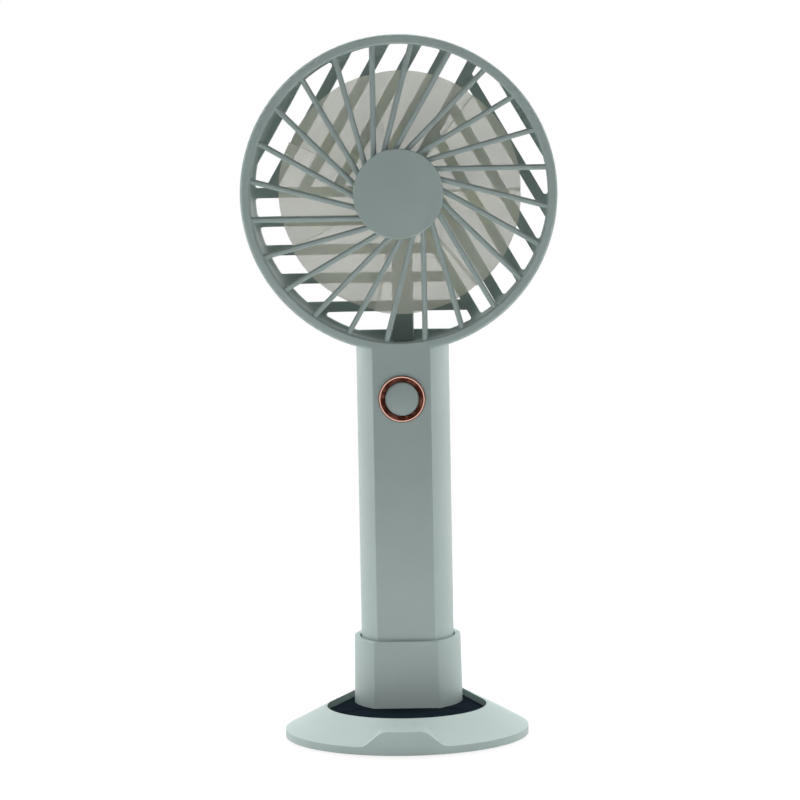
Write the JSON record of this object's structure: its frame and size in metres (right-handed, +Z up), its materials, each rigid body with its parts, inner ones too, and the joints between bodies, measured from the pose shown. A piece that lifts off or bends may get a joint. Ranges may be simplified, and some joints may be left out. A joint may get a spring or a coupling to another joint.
{
  "type": "handheld fan",
  "caption": "Rechargeable handheld fan with a round guarded head and faceted handle, standing in the socket collar of a flat desk base with a recessed tray.",
  "frame": {"origin": "on the handle's axis, on the surface that the stand rests on", "axes": "+Z up along the handle, -Y the front that the air leaves by, +X to the right seen from the front"},
  "size_m": [0.1, 0.0955, 0.2208],
  "materials": {
    "sage_plastic": "fine matte moulded plastic, sage grey-green",
    "dark_rubber": "matte near-black silicone",
    "pad_rubber": "matte black",
    "dark_plastic": "black moulded plastic",
    "steel": "zinc plated sheet",
    "screw_steel": "blackened screw",
    "rose_gold": "rose gold plated ring",
    "board_green": "circuit board",
    "cell_wrap": "shrink wrap",
    "nickel": "nickel plated",
    "light_pipe": "clear to milky",
    "bronze": "sintered bronze and copper",
    "ferrite": "ferrite",
    "lead_jacket": "lead insulation",
    "frosted_blade": "milky, partly see-through polypropylene"
  },
  "bodies": {
    "stand": {"base_shell": "sage_plastic", "base_mat": "dark_rubber", "base_plate": "dark_plastic", "base_weight": "steel", "base_screws": "screw_steel", "foot_pad": "pad_rubber", "socket_collar": "sage_plastic", "socket_pad": "pad_rubber"},
    "fan_body": {"front_shell": "sage_plastic", "front_grille": "sage_plastic", "hub_cap": "sage_plastic", "rear_shell": "sage_plastic", "rear_grille": "sage_plastic", "wire_cover": "sage_plastic", "end_cap": "sage_plastic", "shell_screws": "screw_steel", "button_ring": "rose_gold", "tact_switch": "dark_plastic", "button_board": "board_green", "board_screws": "screw_steel", "battery_cell": "cell_wrap", "battery_tabs": "nickel", "charge_board": "board_green", "charge_port": "nickel", "charge_light": "light_pipe", "motor_can": "nickel", "motor_end_cap": "dark_plastic", "motor_bushings": "bronze", "motor_magnets": "ferrite", "motor_leads": "lead_jacket"},
    "rotor": {"motor_shaft": "steel", "armature_core": "steel", "commutator": "bronze", "impeller": "frosted_blade"},
    "button": {"button_cap": "sage_plastic", "switch_plunger": "dark_plastic"}
  },
  "joints": [
    {"name": "fan_lift", "type": "slide", "parent": "stand", "child": "fan_body", "axis": [0, 0, 1], "range_m": [0, 0.06]},
    {"name": "impeller_spin", "type": "hinge", "parent": "fan_body", "child": "rotor", "pos_m": [0, 0, 0.1708], "axis": [0, -1, 0], "continuous": true},
    {"name": "button_press", "type": "slide", "parent": "fan_body", "child": "button", "axis": [0, 1, 0], "range_m": [0, 0.0005], "stiffness_N_per_m": 1500}
  ]
}
